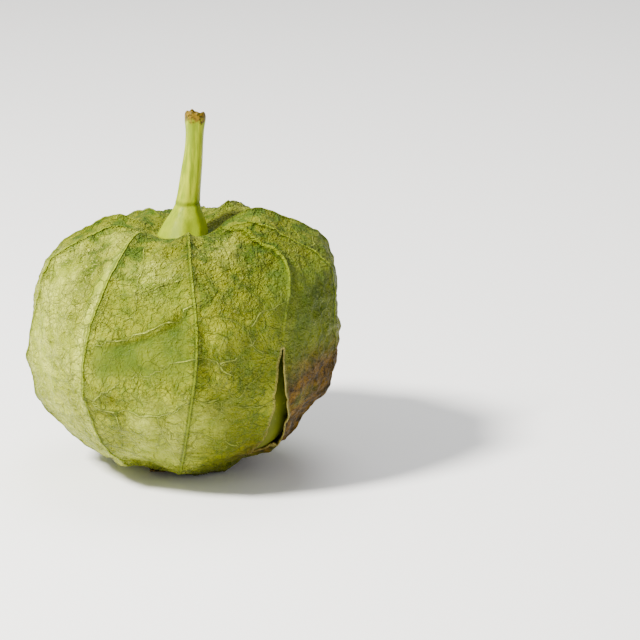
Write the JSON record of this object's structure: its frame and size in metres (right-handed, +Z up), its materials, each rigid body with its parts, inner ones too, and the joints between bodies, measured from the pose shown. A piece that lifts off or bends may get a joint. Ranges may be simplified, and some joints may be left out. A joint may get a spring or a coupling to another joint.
{
  "type": "tomatillo",
  "caption": "Tomatillo in its dry papery husk, standing upright, with ribbed and veined panels, a short split low down that shows the green fruit, and a bent stalk on top.",
  "frame": {"origin": "centre of the bounding box at the plane the husk rests on", "axes": "+Z up through the stem, -Y the front, where the two ribs at azimuth -38 and +4 degrees face, and +X to the right of it"},
  "size_m": [0.0548, 0.0562, 0.0647],
  "materials": {
    "husk": "matte, dry and papery, with darker green ribs and a fine net of veins",
    "fruit": "smooth waxy skin with a soft gloss",
    "stem": "fresh green stalk with fine ridges along it, brown where it was torn off"
  },
  "bodies": {
    "root": {"husk": "husk", "fruit": "fruit", "stem": "stem"}
  },
  "joints": []
}
